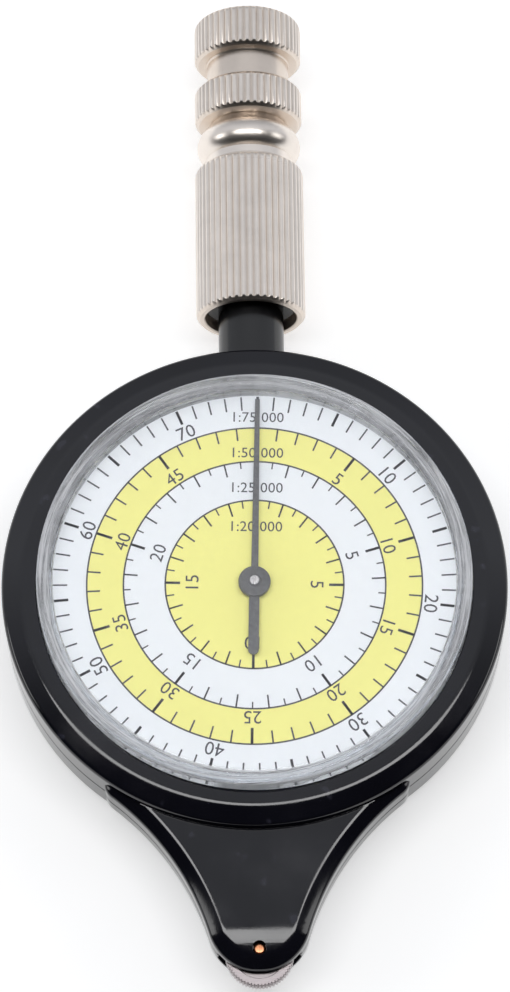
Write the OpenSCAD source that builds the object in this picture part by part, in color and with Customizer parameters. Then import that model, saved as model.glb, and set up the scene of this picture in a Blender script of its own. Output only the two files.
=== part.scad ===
// Map measurer: a tracing wheel drives a hand over a dial on each face through a 48 to 1 gear train.
// It lies on its rear lens, with +Z up through the front dial and +Y towards the handle.

/* [Case] */
// Diameter of the round case
case_d = 50; // [49:0.25:52]
// Height of each shell above the parting plane
shell_h = 4.4; // [4.2:0.1:5]
// Outer diameter of the flat ring of the bezel
bezel_d = 46; // [45.4:0.1:46.6]
// Height of the upright side wall above the parting plane
side_h = 2.1; // [1.6:0.1:2.3]
// Radius where the bezel ring turns into the slope
brow_r = 0.5; // [0.3:0.1:0.7]
// Bevel along the parting line
seam_bevel = 0.12; // [0.05:0.01:0.2]
// Half of the height of the gear space
cavity_h = 2; // [1.9:0.05:2.3]
// Diameter of the gear space
cavity_d = 42; // [41:0.25:43]
// Thickness of the floor between the gear space and the dial
floor_t = 0.6; // [0.5:0.05:0.9]

/* [Lens] */
// Outer diameter of the lens
lens_d = 42.6; // [42.2:0.1:43.2]
// Height of the lens face above the bezel
lens_rise = 1.6; // [1.4:0.1:2]
// Thickness of the side wall of the lens
lens_wall = 1.4; // [1.1:0.1:1.5]
// Thickness of the face of the lens
lens_t = 1.1; // [0.9:0.05:1.2]
// Rounding of the outer edge of the lens
lens_edge = 0.55; // [0.3:0.05:0.8]
// Gap between the lens and the bezel bore, on the radius
lens_gap = 0.05; // [0.03:0.01:0.12]

/* [Dial and hands] */
// Thickness of a dial
dial_t = 0.3; // [0.2:0.05:0.4]
// Gap round the edge of a dial
dial_gap = 0.15; // [0.1:0.05:0.3]
// Diameter of the centre hole of a dial
dial_hole_d = 2.2; // [2:0.1:2.8]
// Angle by which the front hand and dial sit clockwise of the handle
dial_turn = 1.6; // [0:0.1:5]
// Length of a hand from its centre to its tip
hand_len = 19.3; // [17:0.1:19.4]
// Length of the tail of a hand
tail_len = 7.5; // [6:0.1:9]
// Width of the needle at the hub
needle_w = 0.72; // [0.6:0.02:0.9]
// Width of the needle at its tip
tip_w = 0.46; // [0.3:0.02:0.6]
// Width of the tail
tail_w = 1.03; // [0.8:0.05:1.4]
// Thickness of the needle and tail
hand_t = 0.25; // [0.2:0.05:0.35]
// Diameter of the hub of a hand
hub_d = 3.15; // [2.8:0.05:3.6]
// Height of the hub of a hand
hub_h = 0.6; // [0.5:0.05:0.8]
// Gap between a hand's hub and the dial
hand_gap = 0.3; // [0.25:0.05:0.4]

/* [Neck] */
// Distance from the wheel axle back to the centre of the round nose
nose_back = 2.9; // [2.6:0.1:3.2]
// Radius of the round nose
nose_r = 4.85; // [4.75:0.05:5.1]
// Radius of the hollow flank between case and nose
flank_r = 29.3; // [27:0.1:32]
// How far the flank circle cuts into the case circle
case_blend = 0.25; // [0.15:0.05:0.4]
// How far the flank circle cuts into the nose circle
nose_blend = 0.04; // [0.03:0.01:0.08]
// Width of the raised rim along each flank
rim_w = 1.9; // [1.6:0.1:2.2]
// Height of the rim's crest above the panel
rim_rise = 0.55; // [0.4:0.05:0.6]
// Depth of the panel below the bezel ring
panel_drop = 1.6; // [1.55:0.05:1.7]
// Slope of the ramp at the foot of the panel
ramp_deg = 15; // [10:1:20]
// Distance from the wheel axle back to the top of the ramp
ramp_back = 1.9; // [1.6:0.1:2.4]
// Height of the nose's front lip above the parting plane
lip_h = 1.35; // [1.25:0.05:1.6]

/* [Gear train] */
// Module of the gears
gear_m = 0.4; // [0.39:0.005:0.41]
// Teeth of the gear on the centre arbor
centre_teeth = 64; // [62:1:66]
// Teeth of the pinion that drives it
first_pinion_teeth = 8; // [8:1:9]
// Teeth of the gear on the first arbor
first_teeth = 60; // [58:1:60]
// Teeth of the idler in the neck
idler_teeth = 20; // [20:2:22]
// Teeth of the pinion beside the tracing wheel
wheel_pinion_teeth = 10; // [10:2:12]
// Pressure angle
pressure_deg = 25; // [22:0.5:26]
// Height of a tooth above the pitch circle, in modules
tooth_top = 0.8; // [0.7:0.05:0.9]
// Depth of a tooth space below the pitch circle, in modules
tooth_root = 1.15; // [1.05:0.05:1.25]
// Gap between meshing teeth on the pitch circle
backlash = 0.11; // [0.08:0.01:0.16]
// Thickness of a gear
gear_t = 0.8; // [0.6:0.05:0.9]
// Gap between a gear or collar and the shell floor
end_gap = 0.2; // [0.15:0.05:0.3]
// Height between the gears of the two levels
level_gap = 0.6; // [0.5:0.05:0.7]
// Diameter of a gear's hub
gear_hub_d = 4.6; // [4:0.1:5]

/* [Arbors] */
// Diameter of the centre arbor
centre_arbor_d = 2.4; // [2.2:0.1:2.6]
// Diameter of the centre arbor's pivots
centre_pivot_d = 1.5; // [1.4:0.05:1.7]
// Diameter of the centre arbor's tips under the hands
tip_d = 0.9; // [0.8:0.05:1]
// Height of the arbor's tip above the hub
tip_rise = 0.3; // [0.2:0.05:0.35]
// Diameter of the first arbor
first_arbor_d = 1.2; // [1.1:0.05:1.3]
// Diameter of the plain collar of a pinion
collar_d = 2; // [1.9:0.05:2.1]
// Diameter of the idler pin
idler_pin_d = 1; // [0.9:0.05:1.2]
// Diameter of the idler's hub
idler_hub_d = 2.6; // [2.4:0.1:2.8]
// Diameter of the wheel axle
axle_d = 1.2; // [1.1:0.05:1.3]
// Length of the cone on each end of the wheel axle
axle_cone = 0.3; // [0.2:0.05:0.4]
// Running clearance of each pivot, on the radius
pivot_gap = 0.05; // [0.03:0.01:0.08]
// Depth of the blind holes for the idler pin
pin_seat = 0.45; // [0.35:0.05:0.6]

/* [Tracing wheel] */
// Length of map for one turn of the hand
map_per_turn = 1000; // [960:10:1030]
// Thickness of the tracing wheel
wheel_t = 1.4; // [1.2:0.05:1.5]
// Number of fine teeth round the rim
rim_teeth = 60; // [48:4:72]
// Depth of the fine teeth
rim_tooth_h = 0.16; // [0.1:0.02:0.2]
// Diameter of the wheel's boss
boss_d = 2.8; // [2.4:0.1:3.2]
// Depth of the dish in each side of the wheel
dish_t = 0.25; // [0.1:0.05:0.35]
// Width of the rim round the dish
dish_rim = 0.75; // [0.6:0.05:0.9]
// Gap between the wheel and its slot
slot_gap = 0.35; // [0.3:0.05:0.4]

/* [Handle] */
// Diameter of the black stem
stem_d = 6.6; // [6.4:0.1:6.8]
// Length of stem seen between case and sleeve
stem_gap = 4.6; // [3.5:0.1:6]
// Depth of the stem's seat in the side of the case
stem_seat = 0.5; // [0.4:0.05:0.6]
// Diameter of the stem's rod through the case wall
rod_d = 3.2; // [2.8:0.1:3.4]
// Width of the stem's key inside the case
key_w = 5.6; // [5:0.1:6]
// Length of the stem's key
key_len = 1.8; // [1.4:0.1:2.4]
// Outer diameter of the knurled sleeve
sleeve_d = 11.1; // [10.8:0.1:11.4]
// Length of the knurled sleeve
sleeve_len = 16.4; // [14:0.1:20]
// Wall of the sleeve at its mouth
sleeve_wall = 0.7; // [0.65:0.05:0.9]
// Thickness of metal at the closed end of the sleeve
sleeve_end_t = 1.5; // [1.2:0.1:2]
// Outer diameter of the two grip rings
ring_d = 11; // [10.8:0.1:11.2]
// Length of the lower ring
lower_ring_len = 3.9; // [3:0.1:5]
// Length of the upper ring
upper_ring_len = 4.5; // [3.5:0.1:6]
// Length of the plain neck between the rings
waist_len = 3.1; // [2.4:0.1:4]
// Diameter of the plain neck between the rings
waist_d = 6.6; // [6:0.1:7.4]
// Diameter of the polished bead
bead_d = 10.6; // [10.2:0.1:11]
// Radius of the bead's section
bead_r = 1.9; // [1.7:0.05:2]
// Diameter of the groove under the bead
groove_d = 9; // [8.6:0.1:9.4]
// Length from the sleeve to the lower ring
bead_len = 5.2; // [5:0.1:5.8]
// Number of knurled ridges
knurl_count = 48; // [40:1:56]
// Depth of the knurl
knurl_h = 0.22; // [0.15:0.01:0.28]
// Bevel on the ends of the knurled parts
knurl_bevel = 0.4; // [0.3:0.05:0.5]
// Depth of the black collar inside the sleeve
collar_inset = 1.2; // [0.8:0.1:2]
// Length of the black collar
collar_len = 9; // [7:0.1:11]
// Width of the hollow bevel in the face of the collar
collar_bevel = 0.6; // [0.4:0.05:0.7]
// Gap between pieces that are pressed or glued together
seat_gap = 0.02; // [0.01:0.01:0.04]

/* [Shell pillars] */
// Distance of the pillars from the centre
pillar_r = 19.3; // [19:0.1:19.5]
// Angles of the pillars on each side of the handle
pillar_deg = [50, 116]; // [0:1:180]
// Diameter of a pillar
pillar_d = 3; // [2.6:0.1:3.2]
// Diameter of the pin on a rear pillar
peg_d = 1.6; // [1.4:0.1:1.8]
// Length of the pin on a rear pillar
peg_len = 1.2; // [0.9:0.1:1.4]

/* [Hidden] */

$fn = 96;
cut = 0.01; // overlap of a cutter with what it cuts
arc_steps = 6; // straight steps in a quarter of a rounded edge

mid_z = shell_h + lens_rise; // height of the parting plane
floor_top = cavity_h + floor_t;
dial_top = floor_top + dial_t;
bezel_bore_r = lens_d / 2 + lens_gap;
panel_h = shell_h - panel_drop;
rim_top = panel_h + rim_rise;

// Places of the arbors below the centre
first_y = gear_m * (centre_teeth + first_pinion_teeth) / 2;
idler_y = first_y + gear_m * (first_teeth + idler_teeth) / 2;
wheel_y = idler_y + gear_m * (idler_teeth + wheel_pinion_teeth) / 2;
train_ratio = (centre_teeth / first_pinion_teeth) * (first_teeth / wheel_pinion_teeth);
wheel_r = map_per_turn / train_ratio / PI / 2;

// Levels of the train, above and below the parting plane
low_z = -cavity_h + end_gap; // underside of the lower gears
low_top = low_z + gear_t;
high_z = low_top + level_gap; // underside of the centre gear
high_top = high_z + gear_t;
slot_h = wheel_t / 2 + slot_gap;
axle_half = panel_h - (ramp_back * tan(ramp_deg)) - end_gap;

// Flank circle that runs from the case circle to the nose circle
nose_y = wheel_y - nose_back;
flank_to_case = case_d / 2 + flank_r - case_blend;
flank_to_nose = nose_r + flank_r - nose_blend;
flank_y = (pow(flank_to_case, 2) - pow(flank_to_nose, 2) + pow(nose_y, 2)) / (2 * nose_y);
flank_x = sqrt(pow(flank_to_case, 2) - pow(flank_y, 2));
flank_start = 90 + atan(flank_x / flank_y); // direction from its centre to the case centre
flank_end = 180 - atan((flank_y - nose_y) / flank_x); // direction to the nose centre

// Lengths along the handle, from the mouth of the sleeve
handle_y = case_d / 2 + stem_gap;
ring_z = sleeve_len + bead_len;
waist_z = ring_z + lower_ring_len;
top_ring_z = waist_z + waist_len;
handle_len = top_ring_z + upper_ring_len;
collar_end = collar_inset + collar_len;

black = [0.10, 0.10, 0.12];
clear = [0.85, 0.88, 0.9, 0.35];
paper = [0.93, 0.92, 0.75];
brass = [0.78, 0.62, 0.3];
steel = [0.7, 0.7, 0.72];
nickel = [0.78, 0.75, 0.72];
copper = [0.75, 0.45, 0.28];

// Points of a quarter ellipse about [x, y], from angle a to angle b
function quarter(x, y, rx, ry, a, b) =
    [for (i = [0:arc_steps]) let (t = a + (b - a) * i / arc_steps) [x + rx * cos(t), y + ry * sin(t)]];

// Involute angle at radius r on base circle rb
function inv_deg(r, rb) = r <= rb ? 0 : sqrt(pow(r / rb, 2) - 1) * 180 / PI - acos(rb / r);

// Half of the angle of a tooth at radius r
function tooth_half(r, teeth) =
    let (rp = gear_m * teeth / 2, rb = rp * cos(pressure_deg))
    90 / teeth - backlash / 4 / rp * 180 / PI + inv_deg(rp, rb) - inv_deg(max(r, rb), rb);

// Radii along one flank of a tooth, from root to tip
function flank_radii(teeth) =
    let (rp = gear_m * teeth / 2,
         rb = rp * cos(pressure_deg),
         root = rp - tooth_root * gear_m,
         tip = rp + tooth_top * gear_m,
         from = max(root, rb))
    concat(root < rb ? [root] : [], [for (i = [0:3]) from + (tip - from) * i / 3]);

function tooth_points(teeth, middle) =
    let (radii = flank_radii(teeth), n = len(radii))
    concat([for (i = [0:n - 1]) let (a = middle - tooth_half(radii[i], teeth))
                radii[i] * [cos(a), sin(a)]],
           [for (i = [n - 1:-1:0]) let (a = middle + tooth_half(radii[i], teeth))
                radii[i] * [cos(a), sin(a)]]);

// Gear outline with one tooth centred at angle start
module gear_outline(teeth, start) {
    polygon([for (i = [0:teeth - 1]) each tooth_points(teeth, start + i * 360 / teeth)]);
}

module gear(teeth, start, z, t, bore_d) {
    translate([0, 0, z])
        difference() {
            linear_extrude(t) gear_outline(teeth, start);
            translate([0, 0, -cut]) cylinder(d = bore_d, h = t + 2 * cut);
        }
}

module tube(outer_d, bore_d, z, h) {
    translate([0, 0, z])
        difference() {
            cylinder(d = outer_d, h = h);
            translate([0, 0, -cut]) cylinder(d = bore_d, h = h + 2 * cut);
        }
}

// Puts a piece drawn about the parting plane at its height and place below the centre
module at_arbor(y) { translate([0, -y, mid_z]) children(); }

// Puts a piece drawn above the parting plane on the front, or mirrored on the rear
module on_front() { translate([0, 0, mid_z]) children(); }
module on_rear() { translate([0, 0, mid_z]) mirror([0, 0, 1]) children(); }

// ---- shells ----

module round_case() {
    side_r = case_d / 2;
    brow_x = bezel_d / 2 - brow_r;
    rotate_extrude($fn = 180)
        polygon(concat([[0, 0], [side_r - seam_bevel, 0], [side_r, seam_bevel]],
                       quarter(side_r - brow_r, side_h, brow_r, brow_r, 0, 45),
                       quarter(brow_x, shell_h - brow_r, brow_r, brow_r, 50, 90),
                       [[0, shell_h]]));
}

// Upright section of a raised rim, from its outer face inwards, with its foot sunk in the panel
module rim_section() {
    crest = rim_w / 2;
    foot = 0.15;
    polygon(concat([[rim_w, 0], [seam_bevel, 0], [0, seam_bevel]],
                   quarter(crest, side_h, crest, rim_top - side_h, 180, 90),
                   quarter(crest, panel_h - foot, crest, rim_rise + foot, 84, 0)));
}

module flank_rim() {
    translate([flank_x, -flank_y, 0])
        rotate([0, 0, flank_start])
            rotate_extrude(angle = flank_end - flank_start, $fn = 180)
                translate([flank_r, 0]) rim_section();
}

module nose() {
    crest = rim_w / 2;
    shoulder_h = side_h - rim_rise; // where the rounding towards the lip starts
    translate([0, -nose_y, 0])
        rotate_extrude()
            polygon(concat([[0, 0], [nose_r - seam_bevel, 0], [nose_r, seam_bevel]],
                           quarter(nose_r - crest, shoulder_h, crest, panel_h - shoulder_h, 0, 90),
                           [[0, panel_h]]));
}

// Flat of the neck, between the middles of the two rims
module panel_plan() {
    steps = 8;
    under = 0.6; // share of a rim's width that the panel reaches under it
    r = flank_r + rim_w * under;
    side = [for (i = [0:steps]) let (a = flank_start + (flank_end - flank_start) * i / steps)
                [flank_x + r * cos(a), -flank_y + r * sin(a)]];
    polygon(concat([for (p = side) p], [for (i = [steps:-1:0]) [-side[i][0], side[i][1]]]));
}

// Side view that the neck is cut to: the rims rise from the case and sink at the nose,
// and a ramp and a rounded fall lead down to the lip over the tracing wheel
module neck_side() {
    fall_y = wheel_y - ramp_back;
    rise_share = 0.78; // share of the case radius at which the rims start to rise
    fade = 3.5; // length over which a rim rises from the case
    sink = 2.5; // length over which it sinks at the nose
    fall_share = 0.25; // share of the ramp that the rounded fall takes
    rise_y = rise_share * case_d / 2;
    root_h = panel_h + 5 * cut; // top of the neck pieces inside the case
    foot_y = wheel_y - fall_share * ramp_back;
    foot_h = panel_h - (foot_y - fall_y) * tan(ramp_deg);
    tip_y = nose_y + nose_r + cut;
    polygon(concat([[0, 0], [0, root_h], [-rise_y, root_h],
                    [-rise_y - fade, rim_top + cut], [-fall_y + sink, rim_top + cut], [-fall_y, panel_h]],
                   [for (i = [0:arc_steps * 2])
                        let (a = 45 * i / arc_steps)
                        [-foot_y - (tip_y - foot_y) * sin(a), lip_h + (foot_h - lip_h) * cos(a)]],
                   [[-tip_y, 0]]));
}

// Cuts a piece of the neck to the side view
module cut_to_side() {
    intersection() {
        children();
        rotate([90, 0, 90]) translate([0, 0, -case_d / 2]) linear_extrude(case_d) neck_side();
    }
}

module pillars() {
    for (side = [0, 1], a = pillar_deg)
        mirror([side, 0, 0])
            rotate([0, 0, 90 - a])
                translate([pillar_r, 0, 0]) children();
}

// Gear space, wheel slot and bores; the rear shell also clears the pinion beside the wheel
module shell_space(is_rear) {
    gear_room = end_gap * 2;
    pinion_room_h = end_gap / 2 - low_z;
    first_room_r = gear_m * (first_teeth / 2 + tooth_top) + gear_room;
    idler_room_r = gear_m * (idler_teeth / 2 + tooth_top) + gear_room;
    pinion_room_r = gear_m * (wheel_pinion_teeth / 2 + tooth_top) + gear_room;
    slot_w = case_d;
    translate([0, 0, -cut]) cylinder(d = cavity_d, h = cavity_h + cut, $fn = 180);
    translate([0, -first_y, -cut]) cylinder(r = first_room_r, h = cavity_h + cut);
    translate([0, -idler_y, -cut]) cylinder(r = idler_room_r, h = cavity_h + cut);
    translate([0, -wheel_y, -cut]) {
        cylinder(r = wheel_r + slot_gap, h = slot_h + cut);
        if (is_rear)
            cylinder(r = pinion_room_r, h = pinion_room_h + cut);
    }
    translate([-slot_w / 2, -wheel_y - slot_w, -cut]) cube([slot_w, slot_w, slot_h + cut]);
    cylinder(d = centre_pivot_d + 2 * pivot_gap, h = shell_h + cut);
    translate([0, -first_y, 0]) cylinder(d = first_arbor_d + 2 * pivot_gap, h = floor_top + cut);
    translate([0, -idler_y, 0]) cylinder(d = idler_pin_d, h = cavity_h + pin_seat);
    translate([0, -wheel_y, 0]) cylinder(d = axle_d + 2 * pivot_gap, h = shell_h + cut);
}

// Seat of the stem in the edge of the case, and the hole for its rod
module stem_space() {
    rotate([-90, 0, 0]) {
        cylinder(d = rod_d + 2 * pivot_gap, h = case_d);
        translate([0, 0, case_d / 2 - stem_seat]) cylinder(d = stem_d + 2 * seat_gap, h = case_d);
    }
}

module shell(is_rear) {
    difference() {
        union() {
            round_case();
            cut_to_side() flank_rim();
            mirror([1, 0, 0]) cut_to_side() flank_rim();
            cut_to_side() linear_extrude(panel_h) panel_plan();
            cut_to_side() nose();
        }
        translate([0, 0, floor_top]) cylinder(r = bezel_bore_r, h = shell_h, $fn = 180);
        shell_space(is_rear);
        stem_space();
    }
}

module front_case() {
    color(black)
        on_front() {
            difference() {
                union() {
                    shell(false);
                    pillars() cylinder(d = pillar_d, h = cavity_h + cut);
                }
                pillars() translate([0, 0, -cut]) cylinder(d = peg_d + 2 * seat_gap, h = peg_len + end_gap);
            }
        }
}

module rear_case() {
    color(black)
        on_rear() {
            shell(true);
            pillars() {
                cylinder(d = pillar_d, h = cavity_h + cut);
                translate([0, 0, -peg_len]) cylinder(d = peg_d, h = peg_len + cut);
            }
        }
}

// ---- lenses, dials and hands ----

module lens() {
    outer_r = lens_d / 2;
    face_h = shell_h + lens_rise;
    color(clear)
        rotate_extrude($fn = 180)
            polygon(concat([[outer_r - lens_wall, dial_top], [outer_r, dial_top]],
                           quarter(outer_r - lens_edge, face_h - lens_edge, lens_edge, lens_edge, 0, 90),
                           [[0, face_h], [0, face_h - lens_t], [outer_r - lens_wall, face_h - lens_t]]));
}

module dial() {
    color(paper) tube(2 * (bezel_bore_r - dial_gap), dial_hole_d, floor_top, dial_t, $fn = 180);
}

module hand() {
    z = dial_top + hand_gap;
    color([0.15, 0.15, 0.16])
        translate([0, 0, z]) {
            difference() {
                union() {
                    cylinder(d = hub_d, h = hub_h, $fn = 64);
                    translate([0, 0, (hub_h - hand_t) / 2])
                        linear_extrude(hand_t) {
                            polygon([[-needle_w / 2, 0], [needle_w / 2, 0],
                                     [tip_w / 2, hand_len], [-tip_w / 2, hand_len]]);
                            translate([-tail_w / 2, -tail_len + tail_w / 2])
                                square([tail_w, tail_len - tail_w / 2]);
                            translate([0, -tail_len + tail_w / 2]) circle(d = tail_w, $fn = 32);
                        }
                }
                translate([0, 0, -cut]) cylinder(d = tip_d, h = hub_h + 2 * cut, $fn = 48);
            }
        }
}

module front_lens() { on_front() lens(); }
module rear_lens() { on_rear() lens(); }
module front_dial() { on_front() dial(); }
module rear_dial() { on_rear() dial(); }
module front_hand() { on_front() rotate([0, 0, -dial_turn]) hand(); }
module rear_hand() { on_rear() rotate([0, 0, -dial_turn]) hand(); }

// ---- gear train ----

module centre_arbor() {
    shoulder = cavity_h - end_gap;
    pivot_end = dial_top + hand_gap;
    tip_end = pivot_end + hub_h + tip_rise;
    color(steel)
        at_arbor(0) {
            translate([0, 0, -tip_end]) cylinder(d = tip_d, h = 2 * tip_end, $fn = 48);
            translate([0, 0, -pivot_end]) cylinder(d = centre_pivot_d, h = 2 * pivot_end, $fn = 48);
            translate([0, 0, -shoulder]) cylinder(d = centre_arbor_d, h = 2 * shoulder, $fn = 48);
        }
}

module centre_gear() {
    color(brass)
        at_arbor(0) {
            gear(centre_teeth, -90, high_z, gear_t, centre_arbor_d);
            tube(gear_hub_d, centre_arbor_d, high_top - cut, gear_t / 2 + cut);
        }
}

module first_arbor() {
    half = floor_top - pivot_gap;
    color(steel)
        at_arbor(first_y) translate([0, 0, -half]) cylinder(d = first_arbor_d, h = 2 * half, $fn = 48);
}

module first_pinion() {
    shoulder = cavity_h - end_gap;
    teeth_top = high_top + end_gap;
    start = 90 + 180 / first_pinion_teeth;
    color(steel)
        at_arbor(first_y) {
            tube(collar_d, first_arbor_d, -shoulder, low_top + shoulder + cut);
            gear(first_pinion_teeth, start, low_top, teeth_top - low_top, first_arbor_d);
            tube(collar_d, first_arbor_d, teeth_top - cut, shoulder - teeth_top + cut);
        }
}

module first_gear() {
    color(brass) at_arbor(first_y) gear(first_teeth, -90, low_z, gear_t, collar_d);
}

module idler_pin() {
    half = cavity_h + pin_seat - seat_gap;
    color(steel) at_arbor(idler_y) translate([0, 0, -half]) cylinder(d = idler_pin_d, h = 2 * half, $fn = 48);
}

module idler_gear() {
    bore = idler_pin_d + 2 * pivot_gap;
    color(brass)
        at_arbor(idler_y) {
            gear(idler_teeth, 90 + 180 / idler_teeth, low_z, gear_t, bore);
            tube(idler_hub_d, bore, low_top - cut, cavity_h - end_gap - low_top + cut);
        }
}

module wheel_axle() {
    end_r = axle_d / 4; // flat left at each end of the pin
    color(copper)
        at_arbor(wheel_y) {
            rotate_extrude($fn = 48)
                polygon([[0, -axle_half], [end_r, -axle_half], [axle_d / 2, -axle_half + axle_cone],
                         [axle_d / 2, axle_half - axle_cone], [end_r, axle_half], [0, axle_half]]);
        }
}

module wheel_pinion() {
    color(brass)
        at_arbor(wheel_y) {
            gear(wheel_pinion_teeth, 90, low_z, gear_t, axle_d);
            tube(boss_d, axle_d, low_top - cut, -wheel_t / 2 - low_top + cut);
        }
}

// Wheel with a fine-toothed rim, dished on both sides
module tracing_wheel() {
    dish_r = wheel_r - dish_rim;
    color(nickel)
        at_arbor(wheel_y)
            difference() {
                translate([0, 0, -wheel_t / 2])
                    linear_extrude(wheel_t)
                        polygon([for (i = [0:2 * rim_teeth - 1])
                                     let (r = wheel_r - (i % 2) * rim_tooth_h, a = 180 * i / rim_teeth)
                                     r * [cos(a), sin(a)]]);
                for (side = [0, 1])
                    mirror([0, 0, side])
                        tube(2 * dish_r, boss_d, wheel_t / 2 - dish_t, dish_t + cut);
                translate([0, 0, -wheel_t]) cylinder(d = axle_d, h = 2 * wheel_t, $fn = 48);
            }
}

// ---- stem and handle ----

// Puts a piece drawn up the Z axis along the handle, from distance y off the centre
module along_handle(y) { translate([0, y, mid_z]) rotate([-90, 0, 0]) children(); }

module handle_stem() {
    key_y = cavity_d / 2 - end_gap - key_len;
    seat_y = case_d / 2 - stem_seat;
    key_h = 2 * (cavity_h - pivot_gap);
    color(black) {
        along_handle(0) {
            translate([0, 0, key_y]) cylinder(d = rod_d, h = seat_y - key_y + cut, $fn = 64);
            translate([0, 0, seat_y]) cylinder(d = stem_d, h = handle_y + collar_end - seat_y, $fn = 96);
        }
        translate([-key_w / 2, key_y, mid_z - key_h / 2]) cube([key_w, key_len, key_h]);
    }
}

module handle_collar() {
    outer_r = sleeve_d / 2 - knurl_h - sleeve_wall - seat_gap;
    bore_r = stem_d / 2 + seat_gap;
    color(black)
        along_handle(handle_y + collar_inset)
            rotate_extrude()
                polygon([[bore_r, collar_bevel], [bore_r + cut, collar_bevel], [outer_r - cut, 0],
                         [outer_r, 0], [outer_r, collar_len], [bore_r, collar_len]]);
}

// Straight knurl: flat lands with a vee between them
module knurl_outline(d) {
    land = 0.5; // share of the pitch
    pitch = 360 / knurl_count;
    polygon([for (i = [0:knurl_count - 1])
                 each [for (p = [[-land / 2, 0], [land / 2, 0], [0.5, knurl_h]])
                           let (a = (i + p[0]) * pitch) (d / 2 - p[1]) * [cos(a), sin(a)]]]);
}

module knurled_part(d, len, shoulder) {
    r = d / 2;
    intersection() {
        linear_extrude(len) knurl_outline(d);
        rotate_extrude()
            polygon(concat([[0, 0], [r - knurl_bevel, 0], [r + cut, knurl_bevel]],
                           quarter(r + cut - shoulder, len - shoulder, shoulder, shoulder, 0, 90),
                           [[0, len]]));
    }
}

module knurled_handle() {
    bore_r = sleeve_d / 2 - knurl_h - sleeve_wall;
    shoulder = 0.7; // rounding at the closed end of a knurled part
    bead_shift = 0.1; // the bead sits a little nearer to the grip rings
    bead_z = sleeve_len + bead_len / 2 + bead_shift;
    bead_core = bead_d / 2 - bead_r;
    color(nickel)
        along_handle(handle_y)
            difference() {
                union() {
                    knurled_part(sleeve_d, sleeve_len, shoulder);
                    translate([0, 0, sleeve_len - cut]) cylinder(d = groove_d, h = bead_z - sleeve_len + cut);
                    cylinder(d = waist_d, h = top_ring_z + cut);
                    translate([0, 0, bead_z])
                        rotate_extrude() translate([bead_core, 0]) circle(r = bead_r, $fn = 64);
                    translate([0, 0, bead_z - bead_r]) cylinder(r = bead_core, h = 2 * bead_r);
                    translate([0, 0, ring_z]) knurled_part(ring_d, lower_ring_len, knurl_bevel);
                    translate([0, 0, top_ring_z]) knurled_part(ring_d, upper_ring_len, shoulder);
                }
                translate([0, 0, -cut]) cylinder(r = bore_r, h = sleeve_len - sleeve_end_t + cut);
            }
}

front_case();
rear_case();
front_lens();
rear_lens();
front_dial();
rear_dial();
front_hand();
rear_hand();
centre_arbor();
centre_gear();
first_arbor();
first_pinion();
first_gear();
idler_pin();
idler_gear();
wheel_axle();
wheel_pinion();
tracing_wheel();
handle_stem();
handle_collar();
knurled_handle();
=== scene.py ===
import math
import bmesh
import bpy
from mathutils import Matrix, Vector


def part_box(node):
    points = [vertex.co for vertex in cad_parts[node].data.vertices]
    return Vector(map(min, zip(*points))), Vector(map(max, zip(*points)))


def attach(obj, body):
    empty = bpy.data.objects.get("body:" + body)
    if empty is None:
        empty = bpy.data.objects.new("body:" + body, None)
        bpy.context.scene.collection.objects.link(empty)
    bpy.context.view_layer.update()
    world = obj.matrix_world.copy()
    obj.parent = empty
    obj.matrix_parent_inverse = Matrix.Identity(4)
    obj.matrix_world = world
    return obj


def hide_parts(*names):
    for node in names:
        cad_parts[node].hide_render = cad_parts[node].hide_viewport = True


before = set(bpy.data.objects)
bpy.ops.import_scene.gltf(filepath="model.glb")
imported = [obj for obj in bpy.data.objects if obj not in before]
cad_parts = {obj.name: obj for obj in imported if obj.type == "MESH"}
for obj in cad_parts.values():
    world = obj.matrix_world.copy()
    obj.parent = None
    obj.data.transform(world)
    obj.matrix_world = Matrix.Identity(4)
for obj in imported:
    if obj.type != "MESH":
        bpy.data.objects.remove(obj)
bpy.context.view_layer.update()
mm = 0.001
print("frame loaded:", len(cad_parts), "nodes")

# places taken from the frame, in millimetres; heights count from the parting plane
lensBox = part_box("front_lens")
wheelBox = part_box("tracing_wheel")
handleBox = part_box("knurled_handle")
midZ = (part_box("front_lens")[1].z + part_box("rear_lens")[0].z) / 2 / mm
lensR = (lensBox[1].x - lensBox[0].x) / 2 / mm
faceH = lensBox[1].z / mm - midZ
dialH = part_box("front_dial")[1].z / mm - midZ
wheelR = (wheelBox[1].x - wheelBox[0].x) / 2 / mm
wheelY = (wheelBox[0].y + wheelBox[1].y) / 2 / mm
wheelHalf = (wheelBox[1].z - wheelBox[0].z) / 2 / mm
handleY = handleBox[0].y / mm
handleEnd = handleBox[1].y / mm
handTurn = 1.6  # degrees that dial and hand sit clockwise of the handle


# ---------- modelling helpers ----------

def deselectAll():
    bpy.ops.object.select_all(action="DESELECT")


def startEdit(obj, kind="VERT"):
    deselectAll()
    obj.select_set(True)
    bpy.context.view_layer.objects.active = obj
    bpy.ops.object.mode_set(mode="EDIT")
    bpy.ops.mesh.select_mode(type=kind)


def endEdit():
    bpy.ops.object.mode_set(mode="OBJECT")


def choose(obj, test):
    # selects the vertices that pass the test, in edit mode; places are in millimetres
    bm = bmesh.from_edit_mesh(obj.data)
    for v in bm.verts:
        v.select = bool(test(v.co / mm))
    bm.select_flush_mode()
    bmesh.update_edit_mesh(obj.data)


def chooseFaces(obj, test):
    # selects the faces whose middle and normal pass the test, in edit mode
    bpy.ops.mesh.select_mode(type="FACE")
    bm = bmesh.from_edit_mesh(obj.data)
    for f in bm.faces:
        f.select = bool(test(f.calc_center_median() / mm, f.normal))
    bm.select_flush_mode()
    bmesh.update_edit_mesh(obj.data)


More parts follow.
